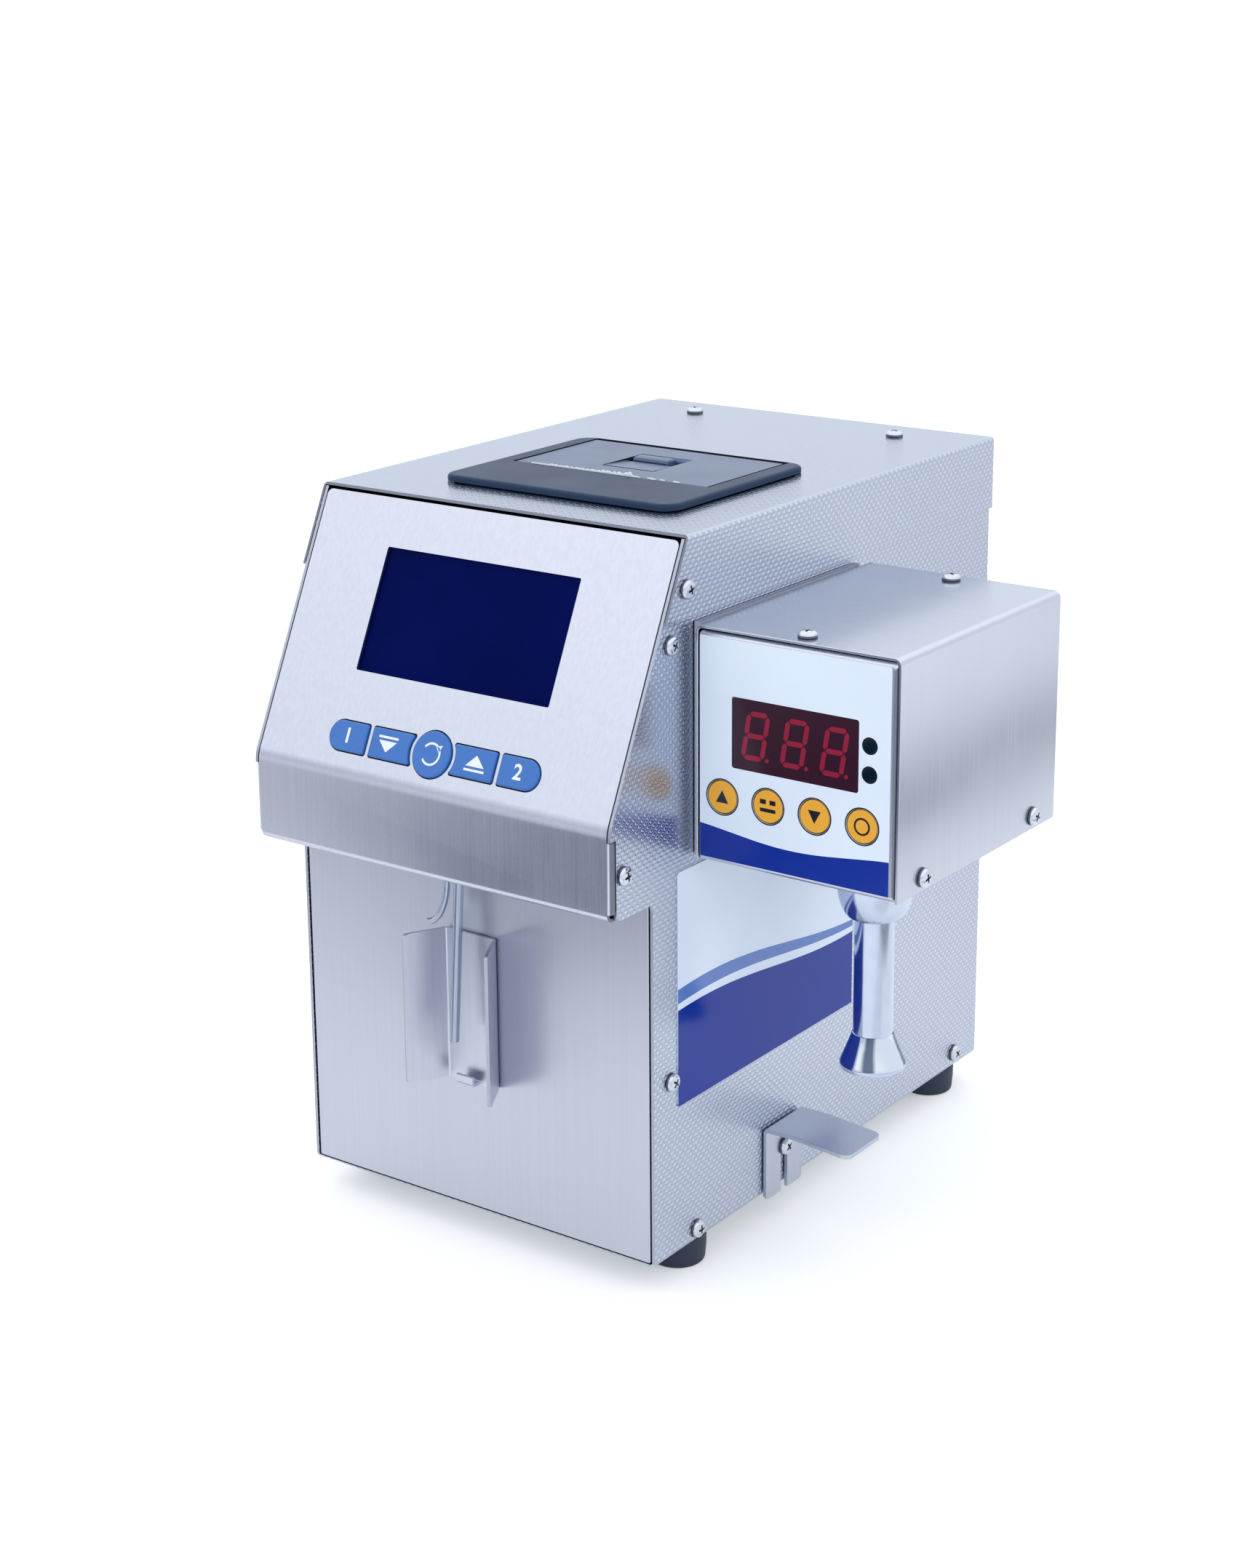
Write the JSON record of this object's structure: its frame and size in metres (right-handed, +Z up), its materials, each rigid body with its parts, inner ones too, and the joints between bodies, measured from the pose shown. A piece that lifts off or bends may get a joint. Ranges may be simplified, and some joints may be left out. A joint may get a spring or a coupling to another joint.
{
  "type": "milk analyzer",
  "caption": "Sheet-steel milk analyzer with a sloping display and keys, sample pipes, a lidded receipt printer on top and an ultrasonic stirrer on its side.",
  "frame": {"origin": "Middle of the bottom of the bounding box, on the table under the feet.", "axes": "+Z up, the longest extent. The front with the sloping display faces -Y, and the stirrer stands on the +X side."},
  "size_m": [0.2066, 0.2202, 0.2316],
  "materials": {
    "textured_steel": "embossed satin",
    "brushed_steel": "brushed",
    "chrome": "polished",
    "polished_aluminium": "polished",
    "slate_plastic": "fine matt grain",
    "black_plastic": "satin",
    "rubber": "matt",
    "blue_key": "semi-gloss",
    "yellow_key": "semi-gloss",
    "display_glass": "clear over dark blue",
    "printed_film": "gloss",
    "circuit_board": "satin",
    "paper": "matt",
    "ceramic": "matt"
  },
  "bodies": {
    "casing": {"body_shell": "textured_steel", "cup_bracket": "brushed_steel", "dc_inlet": "black_plastic", "foot_front_left": "rubber", "foot_front_right": "rubber", "foot_rear_left": "rubber", "foot_rear_right": "rubber", "head_panel": "brushed_steel", "intake_pipe": "chrome", "keypad_board": "circuit_board", "lcd_module": "black_plastic", "lcd_window": "display_glass", "lower_front_panel": "brushed_steel", "main_board": "circuit_board", "printer_body": "slate_plastic", "pump_housing": "black_plastic", "pump_motor": "brushed_steel", "rear_panel": "textured_steel", "rinse_pipe": "chrome", "screw_side_cover": "chrome", "screw_side_front_low": "chrome", "screw_side_head": "chrome", "screw_side_label": "chrome", "screw_side_rear_low": "chrome", "screw_side_upper": "chrome", "screw_stirrer_side_front": "chrome", "screw_stirrer_side_rear": "chrome", "screw_stirrer_top_front": "chrome", "screw_stirrer_top_rear": "chrome", "screw_top_left": "chrome", "screw_top_right": "chrome", "sensor_block": "polished_aluminium", "serial_port": "chrome", "shelf_screw": "chrome", "side_label": "printed_film", "stirrer_board": "circuit_board", "stirrer_chassis": "brushed_steel", "stirrer_cover": "brushed_steel", "stirrer_mount_plate": "brushed_steel", "stirrer_overlay": "printed_film", "switch_housing": "black_plastic", "top_cover": "textured_steel", "transducer_horn": "polished_aluminium", "transducer_stack": "ceramic"},
    "key_left_end": {"key_left_end": "blue_key"},
    "key_down": {"key_down": "blue_key"},
    "key_enter": {"key_enter": "blue_key"},
    "key_up": {"key_up": "blue_key"},
    "key_right_end": {"key_right_end": "blue_key"},
    "stirrer_key_1": {"stirrer_key_1": "yellow_key"},
    "stirrer_key_2": {"stirrer_key_2": "yellow_key"},
    "stirrer_key_3": {"stirrer_key_3": "yellow_key"},
    "stirrer_key_4": {"stirrer_key_4": "yellow_key"},
    "printer_lid": {"printer_lid": "slate_plastic"},
    "printer_latch": {"printer_latch": "black_plastic"},
    "platen_roller": {"platen_roller": "rubber"},
    "paper_roll": {"paper_roll": "paper"},
    "pump_rotor": {"pump_rotor": "polished_aluminium"},
    "power_rocker": {"power_rocker": "black_plastic"},
    "cup_shelf": {"cup_shelf": "brushed_steel"}
  },
  "joints": [
    {"name": "key_left_end_press", "type": "slide", "parent": "casing", "child": "key_left_end", "axis": [0, 0.9033, -0.4291], "range_m": [0, 0.0008], "stiffness_N_per_m": 1200},
    {"name": "key_down_press", "type": "slide", "parent": "casing", "child": "key_down", "axis": [0, 0.9033, -0.4291], "range_m": [0, 0.0008], "stiffness_N_per_m": 1200},
    {"name": "key_enter_press", "type": "slide", "parent": "casing", "child": "key_enter", "axis": [0, 0.9033, -0.4291], "range_m": [0, 0.0008], "stiffness_N_per_m": 1200},
    {"name": "key_up_press", "type": "slide", "parent": "casing", "child": "key_up", "axis": [0, 0.9033, -0.4291], "range_m": [0, 0.0008], "stiffness_N_per_m": 1200},
    {"name": "key_right_end_press", "type": "slide", "parent": "casing", "child": "key_right_end", "axis": [0, 0.9033, -0.4291], "range_m": [0, 0.0008], "stiffness_N_per_m": 1200},
    {"name": "stirrer_key_1_press", "type": "slide", "parent": "casing", "child": "stirrer_key_1", "axis": [0, 1, 0], "range_m": [0, 0.0004], "stiffness_N_per_m": 1800},
    {"name": "stirrer_key_2_press", "type": "slide", "parent": "casing", "child": "stirrer_key_2", "axis": [0, 1, 0], "range_m": [0, 0.0004], "stiffness_N_per_m": 1800},
    {"name": "stirrer_key_3_press", "type": "slide", "parent": "casing", "child": "stirrer_key_3", "axis": [0, 1, 0], "range_m": [0, 0.0004], "stiffness_N_per_m": 1800},
    {"name": "stirrer_key_4_press", "type": "slide", "parent": "casing", "child": "stirrer_key_4", "axis": [0, 1, 0], "range_m": [0, 0.0004], "stiffness_N_per_m": 1800},
    {"name": "printer_lid_hinge", "type": "hinge", "parent": "casing", "child": "printer_lid", "pos_m": [-0.03085, 0.0188, 0.2301], "axis": [-1, 0, 0], "range_deg": [0, 90]},
    {"name": "printer_latch_hinge", "type": "hinge", "parent": "printer_lid", "child": "printer_latch", "pos_m": [-0.03155, 0.0066, 0.2304], "axis": [-1, 0, 0], "range_deg": [0, 30], "stiffness_Nm_per_rad": 0.004},
    {"name": "platen_spin", "type": "hinge", "parent": "printer_lid", "child": "platen_roller", "pos_m": [-0.03085, -0.0194, 0.2238], "axis": [1, 0, 0], "continuous": true},
    {"name": "paper_roll_spin", "type": "hinge", "parent": "casing", "child": "paper_roll", "pos_m": [-0.03085, 0.0008, 0.2094], "axis": [1, 0, 0], "continuous": true},
    {"name": "pump_spin", "type": "hinge", "parent": "casing", "child": "pump_rotor", "pos_m": [-0.00535, -0.0805, 0.0309], "axis": [0, 1, 0], "continuous": true},
    {"name": "power_rocker_tilt", "type": "hinge", "parent": "casing", "child": "power_rocker", "pos_m": [0.00665, 0.1015, 0.06], "axis": [1, 0, 0], "range_deg": [0, 16]},
    {"name": "cup_shelf_height", "type": "slide", "parent": "casing", "child": "cup_shelf", "axis": [0, 0, 1], "range_m": [0, 0.012]}
  ],
  "couplings": [
    {"joint": "platen_spin", "follows": "paper_roll_spin", "ratio": 3.625}
  ]
}
